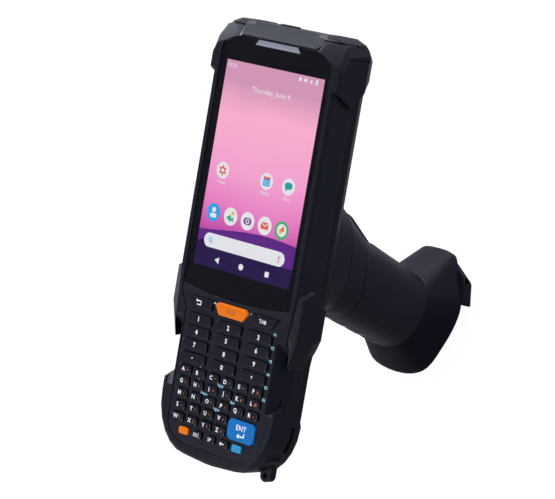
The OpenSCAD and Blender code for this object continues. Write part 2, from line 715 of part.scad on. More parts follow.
module release_opening() middle_box(release_tongue[0] + 2 * fit,
    [release_y + 2.5 - release_travel - fit, release_y + 2.5 + release_tongue[1] + fit],
    [-body_t - 1, inside_back + 1]);

module grip_cradle() color("#2c2e38") {
    on_terminal() difference() {
        translate([0, (cradle_y[0] + cradle_y[1]) / 2, -body_t - cradle_t]) linear_extrude(cradle_t)
            polygon(rounded_rect(2 * cradle_x, cradle_y[1] - cradle_y[0], cradle_corner));
        middle_box(release[0] + 2 * fit, [cradle_y[0] - 1, release_y + release[1] + fit],
            [-body_t - cradle_t - 1, -body_t + 1]);
    }
    on_terminal() hooks();
    on_terminal() loft([raised(-body_t - cradle_t + root, superellipse(neck_x, (neck_y[1] - neck_y[0]) / 2,
        (neck_y[0] + neck_y[1]) / 2, neck_power)), neck_section(0)]);
}

// Slides towards the keypad end to let the terminal off the grip
module cradle_latch() color("#15161b") on_terminal() {
    middle_box(release[0], [release_y, release_y + release[1]],
        [-body_t - release[2] - fit, -body_t - fit]);
    middle_box(release_tongue[0], [release_y + 2.5, release_y + 2.5 + release_tongue[1]],
        [-body_t - fit - skin, inside_back + 0.1 + release_lip]);
    middle_box(release_tongue[0], [release_y + 2.5, release_y + 3.6 + release_tongue[1]],
        [inside_back + 0.1, inside_back + 0.1 + release_lip]);
}

// ---------- grip ----------

// Plates inside each shell that carry the trigger pin, and the screw bosses
module shell_insides() {
    mirrored() across(rib_x[0], rib_x[1], rib_side);
    for (c = clamp_at) cross_pin(c[0], c[1], clamp_boss_r, -handle_x, handle_x);
}

module scallops() for (z = scallop_z) cross_pin(handle_e0 - handle_e - scallop_r + scallop_cut, z,
    scallop_r, -far, far);

// A fine line round the handle below the neck
module collar_line() difference() {
    on_terminal() slice(-body_t - collar_drop + collar_groove[0], -body_t - collar_drop);
    grip_form(collar_groove[1]);
}

module grip_shell(side) difference() {
    intersection() {
        grip_form(0);
        box(side < 0 ? [-far, 0] : [0, far], [-far, far], [0, grip_h]);
    }
    difference() {
        grip_form(shell_wall);
        shell_insides();
    }
    difference() {
        middle_box(2 * (trigger_x + trigger_gap), [trigger_slot[0], far], [trigger_slot[1], trigger_slot[2]]);
        shell_insides();
    }
    scallops();
    collar_line();
    cross_pin(pivot[0], pivot[1], trigger_pin_r + slip, -rib_x[1] - root, rib_x[1] + root);
    for (c = clamp_at) {
        cross_pin(c[0], c[1], clamp_r + slip, -far, handle_x - shell_wall);
        cross_pin(c[0], c[1], clamp_head[0] + fit, -far, -handle_x + clamp_head[1] + 1);
    }
}

module grip_shell_left() color("#2c2e38") grip_shell(-1);
module grip_shell_right() color("#2c2e38") grip_shell(1);

module grip_screws() color("#8a8d94") for (c = clamp_at) {
    cross_pin(c[0], c[1], clamp_r, -handle_x + clamp_head[1], handle_x - shell_wall - 1);
    cross_pin(c[0], c[1], clamp_head[0], -handle_x + 1, -handle_x + clamp_head[1] + 1);
}

module trigger_hub() {
    cross_pin(pivot[0], pivot[1], hub_r, -hub_x, hub_x);
    middle_box(2 * hub_x, [pivot[0], trigger_seat + 6.4], [pivot[1] - hub_web, pivot[1] + hub_web]);
}

module trigger() color("#1d1e25") difference() {
    union() {
        difference() {
            across(-trigger_x, trigger_x, concat([for (p = trigger_face) [handle_front + p[0], p[1]]],
                [[trigger_back, trigger_face[len(trigger_face) - 1][1]], [trigger_back, trigger_face[0][1]]]));
            across(-trigger_x + trigger_wall, trigger_x - trigger_wall, trigger_hollow);
        }
        trigger_hub();
    }
    cross_pin(pivot[0], pivot[1], trigger_pin_r + running, -rib_x[0], rib_x[0]);
}

module trigger_pin() color("#a9acb3") cross_pin(pivot[0], pivot[1], trigger_pin_r, -rib_x[1], rib_x[1]);

module trigger_switch() color("#15161b") {
    middle_box(2 * rib_x[0], [switch_at[0] - switch_box[1] / 2, switch_at[0] + switch_box[1] / 2],
        [switch_at[1] - switch_box[2] / 2, switch_at[1] + switch_box[2] / 2]);
    translate([0, switch_at[0] + switch_box[1] / 2, switch_at[1]]) rotate([-90, 0, 0])
        cylinder(r = plunger[0], h = plunger[1], $fn = 24);
}

// A coil of round wire along Y, from the switch to the back of the trigger
function coil_point(t, length) = [spring_r * cos(360 * t * spring_turns), length * t,
    spring_r * sin(360 * t * spring_turns)];
module trigger_spring() {
    length = trigger_seat - switch_at[0] - switch_box[1] / 2 - 2 * spring_wire - 0.1;
    rings = 12 * spring_turns;
    sides = 6;
    points = [for (i = [0:rings], j = [0:sides - 1]) let (c = coil_point(i / rings, length), a = 360 * j / sides,
        out = [c[0], 0, c[2]] / spring_r) c + spring_wire * (cos(a) * out + sin(a) * [0, 1, 0])];
    walls = [for (i = [0:rings - 1], j = [0:sides - 1]) let (k = (j + 1) % sides)
        [i * sides + j, (i + 1) * sides + j, (i + 1) * sides + k, i * sides + k]];
    ends = [[for (j = [0:sides - 1]) j], [for (j = [sides - 1:-1:0]) rings * sides + j]];
    color("#a9acb3") translate([0, switch_at[0] + switch_box[1] / 2 + spring_wire, switch_at[1]])
        polyhedron(points, concat(walls, ends));
}

// ---------- foot ----------

foot_right = concat([[foot_heel[0], -foot_back], [foot_heel[1][0], -foot_back + foot_heel[1][1]],
    [foot_x, 0], [foot_x, foot_side_e]],
    [for (i = [1, 0]) [foot_cheek[i][0], foot_front + foot_cheek[i][1]]], [[foot_nose, foot_front]]);
sole_right = concat([[sole_heel[0], sole_heel[1]], [sole_heel[0], sole_toe[0][1]]], sole_toe);
foot_outline = softened(both_sides(foot_right), foot_soft);
sole_outline = softened(both_sides(sole_right), sole_soft);

module grip_foot() color("#2c2e38") difference() {
    union() {
        hull() {
            plate(handle_z[0] - skin, skin, handle_section(0));
            plate(foot_flare_z, skin, foot_outline);
        }
        plate(foot_rim_z, foot_flare_z - foot_rim_z + skin, foot_outline);
        plate(sole_t, foot_rim_z - sole_t, sole_outline);
        plate(handle_z[0] - skin, spigot_h, handle_section(shell_wall + fit));
    }
    cross_pin(lanyard_e, (sole_t + foot_rim_z) / 2, lanyard_r, -far, far);
}

module foot_sole() color("#15161b") plate(0, sole_t, grown(sole_outline, -sole_inset));

// ---------- drawing ----------

front_housing();
rear_housing();
corner_bumpers();
side_wings();
bottom_bumper();
touch_glass();
display_panel();
receiver_grille();
keypad_plate();
keypad_mat();
main_board();
battery_pack();
battery_door();
battery_latch();
scan_engine();
scan_window();
rear_camera();
loudspeaker();
power_button();
side_key();
usb_port();
housing_screws();
strap_lug();
grip_cradle();
cradle_latch();
grip_shell_left();
grip_shell_right();
trigger();
trigger_pin();
trigger_spring();
trigger_switch();
grip_foot();
foot_sole();
grip_screws();
for (k = KEYS) key(k);
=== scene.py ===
import bmesh
import bpy
import math
from mathutils import Matrix, Vector


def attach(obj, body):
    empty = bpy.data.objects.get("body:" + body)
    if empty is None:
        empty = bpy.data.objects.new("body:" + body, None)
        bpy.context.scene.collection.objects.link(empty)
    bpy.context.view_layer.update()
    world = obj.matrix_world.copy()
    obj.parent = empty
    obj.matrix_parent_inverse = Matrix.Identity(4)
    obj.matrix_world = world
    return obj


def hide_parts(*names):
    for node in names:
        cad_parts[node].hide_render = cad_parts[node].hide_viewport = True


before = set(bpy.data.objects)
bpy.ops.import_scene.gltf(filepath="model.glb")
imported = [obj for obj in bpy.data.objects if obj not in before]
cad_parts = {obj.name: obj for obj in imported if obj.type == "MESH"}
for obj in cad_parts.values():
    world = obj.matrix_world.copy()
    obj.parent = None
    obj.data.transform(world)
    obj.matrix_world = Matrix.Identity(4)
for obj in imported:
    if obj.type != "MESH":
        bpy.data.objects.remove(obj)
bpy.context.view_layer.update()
mm = 0.001

# ---- Camera and studio -----------------------------------------------------------------------
# A long lens looks down on the front of the terminal from its right side.
# The floor is plain and nearly white, under soft lamps on all four sides and two heights at the scan end.
stands_at = (0.74125, -0.13658, 0.95234)
looks_along = Vector((-0.657449, 0.118931, -0.744054)).normalized()
across = looks_along.cross(Vector((-0.203303, 0.922845, 0.327149))).normalized()
above = across.cross(looks_along)
bpy.ops.object.camera_add()
camera = bpy.context.object
camera.matrix_world = Matrix((*zip(across, above, -looks_along, stands_at), (0, 0, 0, 1)))
camera.data.sensor_width = 36
camera.data.lens = 170.885
bpy.context.scene.camera = camera
bpy.context.scene.view_settings.view_transform = "Standard"

bpy.ops.mesh.primitive_plane_add(size=8)
floor = bpy.context.object
floor.name = "floor"
paper = bpy.data.materials.new("pale_paper")
paper.use_nodes = True
nodes, links = paper.node_tree.nodes, paper.node_tree.links
dull = nodes["Principled BSDF"]
dull.inputs["Base Color"].default_value = (0.28, 0.28, 0.29, 1)
dull.inputs["Roughness"].default_value = 0.9
dull.inputs["Specular IOR Level"].default_value = 0.1
seen = nodes.new("ShaderNodeLightPath")
white = nodes.new("ShaderNodeEmission")
white.inputs["Color"].default_value = (1, 1, 1, 1)
white.inputs["Strength"].default_value = 1.2
share = nodes.new("ShaderNodeMath")
share.operation = "MULTIPLY"
share.inputs[1].default_value = 0.8
links.new(seen.outputs["Is Camera Ray"], share.inputs[0])
blend = nodes.new("ShaderNodeMixShader")
links.new(share.outputs[0], blend.inputs["Fac"])
links.new(dull.outputs[0], blend.inputs[1])
links.new(white.outputs[0], blend.inputs[2])
links.new(blend.outputs[0], nodes["Material Output"].inputs["Surface"])
floor.data.materials.append(paper)

world = bpy.data.worlds.new("studio")
bpy.context.scene.world = world
world.use_nodes = True
sky_light = world.node_tree.nodes["Background"]
sky_light.inputs["Color"].default_value = (0.76, 0.80, 1.0, 1)
sky_light.inputs["Strength"].default_value = 0.4


def softbox(name, at, aim, size, power, color=(1, 1, 1)):
    """A rectangular lamp that faces the place it is aimed at."""
    bpy.ops.object.light_add(type="AREA", location=at)
    lamp = bpy.context.object
    lamp.name = name
    lamp.data.shape = "RECTANGLE"
    lamp.data.size, lamp.data.size_y = size
    lamp.data.energy = power
    lamp.data.color = color
    lamp.rotation_euler = (Vector(aim) - Vector(at)).to_track_quat("-Z", "Y").to_euler()


softbox("softbox_scan_end", (-0.55, 0.9, 0.8), (0, 0.05, 0.12), (0.8, 0.5), 8, (0.86, 0.90, 1))
softbox("softbox_behind", (-0.1, 1.0, 0.27), (0, 0.03, 0.12), (1.1, 0.3), 7, (0.88, 0.91, 1))
softbox("softbox_front", (-0.3, -0.9, 0.9), (0, -0.05, 0.12), (0.6, 0.5), 7)
softbox("softbox_right", (0.6, 0.7, 0.42), (0, 0.05, 0.12), (0.35, 0.35), 4, (0.90, 0.92, 1))
softbox("softbox_left", (-0.9, 0.25, 0.16), (0, 0, 0.1), (0.9, 0.3), 9, (0.88, 0.91, 1))
softbox("softbox_keypad_end", (-0.5, -1.0, 0.10), (0, 0, 0.08), (0.9, 0.2), 1.5, (0.90, 0.92, 1))

# ---- Housings ----------------------------------------------------------------------------------
# Two deep mouldings in charcoal polycarbonate with a fine spark texture and soft edges.
# They meet at a seam round the flanks and are screwed together from the back.
grip_height = 106 * mm
lean = math.radians(18)
held_at = 93.7 * mm
terminal_depth = 29.5 * mm
terminal_place = (Matrix.Translation((0, 0, grip_height)) @ Matrix.Rotation(lean, 4, "X")
                  @ Matrix.Translation((0, -held_at, terminal_depth)))
to_terminal = terminal_place.inverted()
turned = terminal_place.to_3x3()
turned_back = to_terminal.to_3x3()
out_of_screen = turned @ Vector((0, 0, 1))
fixed = "terminal_on_grip"


def spark_texture():
    """A moulded surface: fine spark grain, slow changes of colour and gloss, and edges polished by hands."""
    group = bpy.data.node_groups.new("spark_texture", "ShaderNodeTree")
    face = group.interface
    face.new_socket("Color", in_out="INPUT", socket_type="NodeSocketColor")
    for name in ("Roughness", "Grain", "Depth", "Mottle", "Polish", "Coat"):
        face.new_socket(name, in_out="INPUT", socket_type="NodeSocketFloat")
    for name, kind in (("Color", "Color"), ("Roughness", "Float"), ("Coat", "Float"), ("Normal", "Vector")):
        face.new_socket(name, in_out="OUTPUT", socket_type="NodeSocket" + kind)
    nodes, links = group.nodes, group.links
    given = nodes.new("NodeGroupInput")
    made = nodes.new("NodeGroupOutput")
    place = nodes.new("ShaderNodeTexCoord")
    grain = nodes.new("ShaderNodeTexNoise")
    grain.inputs["Detail"].default_value = 3
    links.new(place.outputs["Object"], grain.inputs["Vector"])
    links.new(given.outputs["Grain"], grain.inputs["Scale"])
    slow = nodes.new("ShaderNodeTexNoise")
    slow.inputs["Scale"].default_value = 55
    slow.inputs["Detail"].default_value = 4
    links.new(place.outputs["Object"], slow.inputs["Vector"])
    bump = nodes.new("ShaderNodeBump")
    bump.inputs["Distance"].default_value = 0.00006
    links.new(given.outputs["Depth"], bump.inputs["Strength"])
    links.new(grain.outputs["Fac"], bump.inputs["Height"])
    links.new(bump.outputs["Normal"], made.inputs["Normal"])
    change = nodes.new("ShaderNodeMapRange")
    change.inputs["From Min"].default_value = 0.3
    change.inputs["From Max"].default_value = 0.7
    change.inputs["To Min"].default_value = -0.5
    change.inputs["To Max"].default_value = 0.5
    links.new(slow.outputs["Fac"], change.inputs["Value"])
    amount = nodes.new("ShaderNodeMath")
    amount.operation = "MULTIPLY_ADD"
    links.new(change.outputs["Result"], amount.inputs[0])
    links.new(given.outputs["Mottle"], amount.inputs[1])
    amount.inputs[2].default_value = 1
    tint = nodes.new("ShaderNodeVectorMath")
    tint.operation = "SCALE"
    links.new(given.outputs["Color"], tint.inputs[0])
    links.new(amount.outputs[0], tint.inputs["Scale"])
    links.new(tint.outputs[0], made.inputs["Color"])
    flat = nodes.new("ShaderNodeNewGeometry")
    round_edge = nodes.new("ShaderNodeBevel")
    round_edge.samples = 4
    round_edge.inputs["Radius"].default_value = 0.0006
    bend = nodes.new("ShaderNodeVectorMath")
    bend.operation = "DOT_PRODUCT"
    links.new(flat.outputs["Normal"], bend.inputs[0])
    links.new(round_edge.outputs["Normal"], bend.inputs[1])
    edge = nodes.new("ShaderNodeMapRange")
    edge.inputs["From Min"].default_value = 0.995
    edge.inputs["From Max"].default_value = 0.90
    links.new(bend.outputs["Value"], edge.inputs["Value"])
    polish = nodes.new("ShaderNodeMath")
    polish.operation = "MULTIPLY"
    links.new(edge.outputs["Result"], polish.inputs[0])
    links.new(given.outputs["Polish"], polish.inputs[1])
    shine = nodes.new("ShaderNodeMath")
    links.new(polish.outputs[0], shine.inputs[0])
    links.new(given.outputs["Coat"], shine.inputs[1])
    links.new(shine.outputs[0], made.inputs["Coat"])
    gloss = nodes.new("ShaderNodeMath")
    gloss.operation = "MULTIPLY"
    links.new(given.outputs["Roughness"], gloss.inputs[0])
    links.new(amount.outputs[0], gloss.inputs[1])
    smoother = nodes.new("ShaderNodeMath")
    smoother.operation = "MULTIPLY_ADD"
    links.new(polish.outputs[0], smoother.inputs[0])
    smoother.inputs[1].default_value = -0.25
    links.new(gloss.outputs[0], smoother.inputs[2])
    links.new(smoother.outputs[0], made.inputs["Roughness"])
    return group


spark = spark_texture()


def new_material(name):
    """A material with its nodes, its links and its Principled shader."""
    material = bpy.data.materials.new(name)
    material.use_nodes = True
    nodes = material.node_tree.nodes
    return material, nodes, material.node_tree.links, nodes["Principled BSDF"]


def wear(piece, material):
    piece.data.materials.clear()
    piece.data.materials.append(material)


def moulded(name, color, roughness, grain=1500, depth=0.12, mottle=0.12, specular=0.16, coat=0.0, polish=0.35):
    """Plastic or rubber with the spark texture at its own scale, depth and gloss."""
    material, nodes, links, surface = new_material(name)
    texture = nodes.new("ShaderNodeGroup")
    texture.node_tree = spark
    texture.inputs["Color"].default_value = (*color, 1)
    for socket, value in (("Roughness", roughness), ("Grain", grain), ("Depth", depth), ("Mottle", mottle),
                          ("Polish", polish), ("Coat", coat)):
        texture.inputs[socket].default_value = value
    links.new(texture.outputs["Color"], surface.inputs["Base Color"])
    links.new(texture.outputs["Roughness"], surface.inputs["Roughness"])
    links.new(texture.outputs["Normal"], surface.inputs["Normal"])
    links.new(texture.outputs["Coat"], surface.inputs["Coat Weight"])
    surface.inputs["Specular IOR Level"].default_value = specular
    surface.inputs["Coat Roughness"].default_value = 0.2
    return material


def only(piece):
    bpy.ops.object.select_all(action="DESELECT")
    piece.select_set(True)
    bpy.context.view_layer.objects.active = piece


def select_where(piece, kind, wanted):
    """Selects the corners or the faces of a piece that answer a test, in edit mode."""
    bpy.ops.mesh.select_mode(type=kind)
    bpy.ops.mesh.select_all(action="DESELECT")
    shape = bmesh.from_edit_mesh(piece.data)
    for part in shape.verts if kind == "VERT" else shape.faces:
        part.select_set(wanted(part))
    shape.select_flush_mode()
    bmesh.update_edit_mesh(piece.data)


def copied(node, name):
    """A free copy of a CAD node, with its loose triangles merged into whole faces."""
    only(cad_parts[node])
    bpy.ops.object.duplicate()
    piece = bpy.context.object
    piece.name = name
    for key in list(piece.keys()):
        del piece[key]
    piece.parent = None
    piece.matrix_world = Matrix.Identity(4)
    only(piece)
    bpy.ops.mesh.customdata_custom_splitnormals_clear()
    bpy.ops.object.mode_set(mode="EDIT")
    bpy.ops.mesh.select_all(action="SELECT")
    bpy.ops.mesh.remove_doubles(threshold=0.000004)
    bpy.ops.mesh.dissolve_limited(angle_limit=math.radians(1.2))
    bpy.ops.object.mode_set(mode="OBJECT")
    return piece


def rounded(name, node, edge, material, body=fixed, segments=2, angle=28, shaping=None):
    """The moulding of a CAD node with its edges broken to a radius."""
    piece = copied(node, name)
    if shaping:
        shaping(piece)
    only(piece)
    soften = piece.modifiers.new("soft edges", "BEVEL")
    soften.width = edge
    soften.segments = segments
    soften.limit_method = "ANGLE"
    soften.angle_limit = math.radians(angle)
    bpy.ops.object.modifier_apply(modifier=soften.name)
    bpy.ops.object.shade_smooth_by_angle(angle=math.radians(40))
    even = piece.modifiers.new("even shading", "WEIGHTED_NORMAL")
    even.keep_sharp = True
    even.weight = 90
    bpy.ops.object.modifier_apply(modifier=even.name)
    wear(piece, material)
    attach(piece, body)
    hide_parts(node)


shell_charcoal = moulded("shell_charcoal", (0.0068, 0.0069, 0.0128), 0.42)
rear_charcoal = moulded("rear_charcoal", (0.0045, 0.0046, 0.0090), 0.46)
rounded("front_moulding", "front_housing", 0.35 * mm, shell_charcoal)
rounded("rear_moulding", "rear_housing", 0.35 * mm, rear_charcoal)
rounded("battery_cover", "battery_door", 0.2 * mm, rear_charcoal)

# ---- Bumpers and wings ---------------------------------------------------------------------------
# Soft overmoulded corners at the scan end, a bumper round the keypad end and two raised hand rests.
# They are bonded to the housings and a little duller than them.
soft_black = moulded("soft_black", (0.0062, 0.0062, 0.0124), 0.44, grain=2200, depth=0.2, mottle=0.1)


def plug(node, name, inside):
    """The solid that fills a cut of a CAD node, from the corners of the cut."""
    piece = copied(node, name)
    bpy.ops.object.mode_set(mode="EDIT")
    select_where(piece, "VERT", lambda corner: not inside((to_terminal @ corner.co) / mm))
    bpy.ops.mesh.delete(type="VERT")
    bpy.ops.mesh.select_all(action="SELECT")
    bpy.ops.mesh.convex_hull()
    bpy.ops.mesh.select_mode(type="FACE")
    bpy.ops.object.mode_set(mode="OBJECT")
    return piece


def merge_into(piece, other, operation):
    """Adds another solid to a piece, cuts it out or keeps what the two share, and removes the other."""
    change = piece.modifiers.new("merge", "BOOLEAN")
    change.operation = operation
    change.solver = "EXACT"
    change.object = other
    only(piece)
    bpy.ops.object.modifier_apply(modifier=change.name)
    bpy.data.objects.remove(other)


def shallow_grooves(piece):
    """Sets a floor into each groove across the corner rubbers, about half a millimetre down."""
    half_groove = 0.7
    for side in (1, -1):
        for middle, low, high, inward in ((185.8, -12.1, 1, (-0.45 * side, 0, -0.5)),
                                          (180.2, -17.1, -3.9, (-0.55 * side, 0, 0))):
            groove_floor = plug("corner_bumpers", "groove_floor", lambda at: (
                at.x * side > 0 and abs(at.y - middle) < half_groove and low < at.z < high))
            only(groove_floor)
            bpy.ops.transform.translate(value=turned @ Vector(inward) * mm)
            bpy.ops.object.transform_apply(location=True, rotation=False, scale=False)
            only(piece)
            groove_floor.select_set(True)
            bpy.ops.object.join()


rounded("corner_rubbers", "corner_bumpers", 0.4 * mm, soft_black, segments=3,
        shaping=shallow_grooves)
rounded("hand_rests", "side_wings", 0.5 * mm, soft_black, segments=3)


def side_recess(piece):
    """Closes the slot at each side where it nears the corner. The recess that should take its place isn't
    cut: at the left the flank beside the corner sinks to the housing instead, which is a fault."""
    outline = [Vector((0, y, z)) * mm for y, z in ((8.6, -9), (11.6, -12.3), (26.6, -12.2), (26.6, -7.6))]
    edges = list(zip(outline, outline[1:] + outline[:1]))
    recess_depth = 0.9 * mm

    def on_flank(face, side):
        middle = to_terminal @ face.calc_center_median()
        return (turned_back @ face.normal).x * side > 0.4 and middle.x * side > 20 * mm

    def below_wings(face):
        return (to_terminal @ face.calc_center_median()).y < 40 * mm

    def within(face):
        at = to_terminal @ face.calc_center_median()
        return all((b - a).y * (at.z - a.z) - (b - a).z * (at.y - a.y) > 0 for a, b in edges)

    for side in (1, -1):
        slot_plug = plug("bottom_bumper", "slot_plug", lambda at: (
            at.x * side > 20 and 7 < at.y < 25 and -13.6 < at.z < -10.4))
        merge_into(piece, slot_plug, "UNION")
        bpy.ops.object.mode_set(mode="EDIT")
        for here, after in edges:
            run = after - here
            select_where(piece, "FACE", lambda face: on_flank(face, side) and below_wings(face))
            bpy.ops.mesh.bisect(plane_co=terminal_place @ here, plane_no=turned @ Vector((0, -run.z, run.y)))
        select_where(piece, "FACE", lambda face: on_flank(face, side) and within(face))
        bpy.ops.mesh.extrude_region_shrink_fatten(TRANSFORM_OT_shrink_fatten={"value": -recess_depth})
        bpy.ops.object.mode_set(mode="OBJECT")


rounded("bottom_rubber", "bottom_bumper", 0.3 * mm, soft_black, segments=3, shaping=side_recess)
rounded("strap_eye", "strap_lug", 0.3 * mm, soft_black)

# ---- Glass and display ---------------------------------------------------------------------------
# A flat cover glass, coated against reflections, lies a little below the rails on the housing's ledge.
# A black border is printed on its back, and the lit panel is held up against it.
window_half = 28.1 * mm
window_y = (81.6 * mm, 170.3 * mm)
glass_back = -1.5 * mm
print_t = 0.06 * mm
panel_drop = 0.05 * mm


def on_terminal(piece):
    """Puts a piece drawn in the terminal's own frame where the terminal stands."""
    only(piece)
    piece.matrix_world = terminal_place @ piece.matrix_world
    bpy.ops.object.transform_apply(location=True, rotation=True, scale=True)


def joined(name, pieces, material, body=fixed):
    """One piece on the terminal, made of pieces drawn in its frame."""
    only(pieces[0])
    for piece in pieces:
        piece.select_set(True)
    if len(pieces) > 1:
        bpy.ops.object.join()
    whole = bpy.context.object
    whole.name = name
    wear(whole, material)
    on_terminal(whole)
    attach(whole, body)


def move_level(piece, low, high, rise):
    """Moves the corners of a piece that lie between two depths of the terminal."""
    only(piece)
    bpy.ops.object.mode_set(mode="EDIT")
    select_where(piece, "VERT", lambda corner: low < (to_terminal @ corner.co).z < high)
    bpy.ops.transform.translate(value=out_of_screen * rise)
    bpy.ops.mesh.select_mode(type="FACE")
    bpy.ops.object.mode_set(mode="OBJECT")


coated_glass, nodes, links, surface = new_material("coated_glass")
surface.inputs["Base Color"].default_value = (0.97, 0.98, 1.0, 1)
surface.inputs["IOR"].default_value = 1.22
surface.inputs["Transmission Weight"].default_value = 1.0
place = nodes.new("ShaderNodeTexCoord")
finger_marks = nodes.new("ShaderNodeTexNoise")
finger_marks.inputs["Scale"].default_value = 45
finger_marks.inputs["Detail"].default_value = 5
smear = nodes.new("ShaderNodeMapRange")
smear.inputs["From Min"].default_value = 0.5
smear.inputs["From Max"].default_value = 0.8
smear.inputs["To Max"].default_value = 0.04
links.new(place.outputs["Object"], finger_marks.inputs["Vector"])
links.new(finger_marks.outputs["Fac"], smear.inputs["Value"])
links.new(smear.outputs["Result"], surface.inputs["Roughness"])

black_print = moulded("black_print", (0.0022, 0.0022, 0.0034), 0.5, grain=3000, depth=0.03, mottle=0.05,
                      specular=0.0, polish=0.0)

border = copied("touch_glass", "black_border")
move_level(border, -1 * mm, 0, glass_back + print_t + 0.3 * mm)
bpy.ops.mesh.primitive_cube_add(size=1, location=(0, (window_y[0] + window_y[1]) / 2, glass_back))
opening = bpy.context.object
opening.scale = (2 * window_half, window_y[1] - window_y[0], 2 * mm)
on_terminal(opening)
merge_into(border, opening, "DIFFERENCE")
wear(border, black_print)
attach(border, fixed)
rounded("cover_glass", "touch_glass", 0.2 * mm, coated_glass,
        shaping=lambda piece: move_level(piece, -2 * mm, -1.4 * mm, print_t + 0.02 * mm))

# The picture: a pink sky that deepens downwards, and two violet hills at the foot.
sky, nodes, links, surface = new_material("lit_sky_and_hills")
surface.inputs["Base Color"].default_value = (0.01, 0.01, 0.012, 1)
surface.inputs["Roughness"].default_value = 0.3
surface.inputs["Specular IOR Level"].default_value = 0.0
surface.inputs["Emission Strength"].default_value = 1.0
place = nodes.new("ShaderNodeTexCoord")
level = nodes.new("ShaderNodeMapping")
level.inputs["Location"].default_value = to_terminal.translation
level.inputs["Rotation"].default_value = (-lean, 0, 0)
links.new(place.outputs["Object"], level.inputs["Vector"])
apart = nodes.new("ShaderNodeSeparateXYZ")
links.new(level.outputs["Vector"], apart.inputs["Vector"])
height = nodes.new("ShaderNodeMapRange")
height.inputs["From Min"].default_value = window_y[0]
height.inputs["From Max"].default_value = window_y[1]
links.new(apart.outputs["Y"], height.inputs["Value"])
haze = nodes.new("ShaderNodeTexNoise")
haze.inputs["Scale"].default_value = 14
haze.inputs["Detail"].default_value = 2
links.new(level.outputs["Vector"], haze.inputs["Vector"])
drift = nodes.new("ShaderNodeMath")
drift.operation = "MULTIPLY_ADD"
links.new(haze.outputs["Fac"], drift.inputs[0])
drift.inputs[1].default_value = 0.22
links.new(height.outputs["Result"], drift.inputs[2])
sky_colors = nodes.new("ShaderNodeValToRGB")
links.new(drift.outputs[0], sky_colors.inputs["Fac"])
sky_colors.color_ramp.elements[0].position = 0.2
sky_colors.color_ramp.elements[0].color = (0.381, 0.037, 0.238, 1)
sky_colors.color_ramp.elements[1].position = 1.1
sky_colors.color_ramp.elements[1].color = (0.665, 0.305, 0.47, 1)
for stop, color in ((0.3, (0.56, 0.075, 0.40, 1)), (0.42, (0.82, 0.21, 0.53, 1)),
                    (0.6, (0.93, 0.36, 0.62, 1)), (0.85, (0.98, 0.43, 0.62, 1))):
    step = sky_colors.color_ramp.elements.new(stop)
    step.color = color
picture = sky_colors.outputs["Color"]
for crest, swing, waves, shift, color in ((98.5, 2.2, 62, 0.9, (0.10, 0.012, 0.22, 1)),
                                         (92.5, 2.6, 95, 2.4, (0.014, 0.001, 0.055, 1))):
    turn = nodes.new("ShaderNodeMath")
    turn.operation = "MULTIPLY_ADD"
    turn.inputs[1].default_value = waves
    turn.inputs[2].default_value = shift
    links.new(apart.outputs["X"], turn.inputs[0])
    wave = nodes.new("ShaderNodeMath")
    wave.operation = "SINE"
    links.new(turn.outputs[0], wave.inputs[0])
    ridge = nodes.new("ShaderNodeMath")
    ridge.operation = "MULTIPLY_ADD"
    ridge.inputs[1].default_value = swing * mm
    ridge.inputs[2].default_value = crest * mm
    links.new(wave.outputs[0], ridge.inputs[0])
    under = nodes.new("ShaderNodeMath")
    under.operation = "LESS_THAN"
    links.new(apart.outputs["Y"], under.inputs[0])
    links.new(ridge.outputs[0], under.inputs[1])
    hill = nodes.new("ShaderNodeMix")
    hill.data_type = "RGBA"
    links.new(under.outputs[0], hill.inputs["Factor"])
    links.new(picture, hill.inputs["A"])
    hill.inputs["B"].default_value = color
    picture = hill.outputs["Result"]
links.new(picture, surface.inputs["Emission Color"])

rounded("lit_panel", "display_panel", 0.1 * mm, sky,
        shaping=lambda piece: move_level(piece, -2 * mm, -1.4 * mm, -panel_drop))

# The signs on the picture are cut from thin film: time and date, three programs and their names, five
# more programs in the dock, a white search bar, and the triangle, dot and square at the foot.
sign_z = glass_back - panel_drop + 0.02 * mm
film_step = 0.004 * mm
films = {}


def lit_film(name, color):
    """Film in one colour, lit from behind and a little uneven."""
    material, nodes, links, surface = new_material("film_" + name)
    surface.inputs["Base Color"].default_value = (0, 0, 0, 1)
    surface.inputs["Roughness"].default_value = 0.4
    surface.inputs["Specular IOR Level"].default_value = 0.0
    grain = nodes.new("ShaderNodeTexNoise")
    grain.inputs["Scale"].default_value = 900
    tone = nodes.new("ShaderNodeMix")
    tone.data_type = "RGBA"
    tone.inputs["A"].default_value = (*[0.92 * c for c in color], 1)
    tone.inputs["B"].default_value = (*color, 1)
    place = nodes.new("ShaderNodeTexCoord")
    links.new(place.outputs["Object"], grain.inputs["Vector"])
    links.new(grain.outputs["Fac"], tone.inputs["Factor"])
    links.new(tone.outputs["Result"], surface.inputs["Emission Color"])
    surface.inputs["Emission Strength"].default_value = 1.0
    films[name] = (material, [])


for name, color in (("white", (0.82, 0.83, 0.85)), ("sky_blue", (0.03, 0.37, 0.78)),
                    ("teal", (0.02, 0.36, 0.33)), ("coral", (0.80, 0.13, 0.09)),
                    ("amber", (0.88, 0.44, 0.05)), ("green", (0.06, 0.43, 0.16)),
                    ("plum", (0.20, 0.05, 0.32))):
    lit_film(name, color)


def keep_sign(film, layer=0):
    """Lays the sign just made on its layer, and keeps it with the others of its film."""
    piece = bpy.context.object
    piece.location.z = sign_z + layer * film_step
    films[film][1].append(piece)
    return piece


def disc(film, x, y, radius, layer=0, sides=36, turn=0.0):
    bpy.ops.mesh.primitive_circle_add(vertices=sides, radius=radius * mm, fill_type="NGON",
                                      location=(x * mm, y * mm, 0), rotation=(0, 0, math.radians(turn)))
    return keep_sign(film, layer)


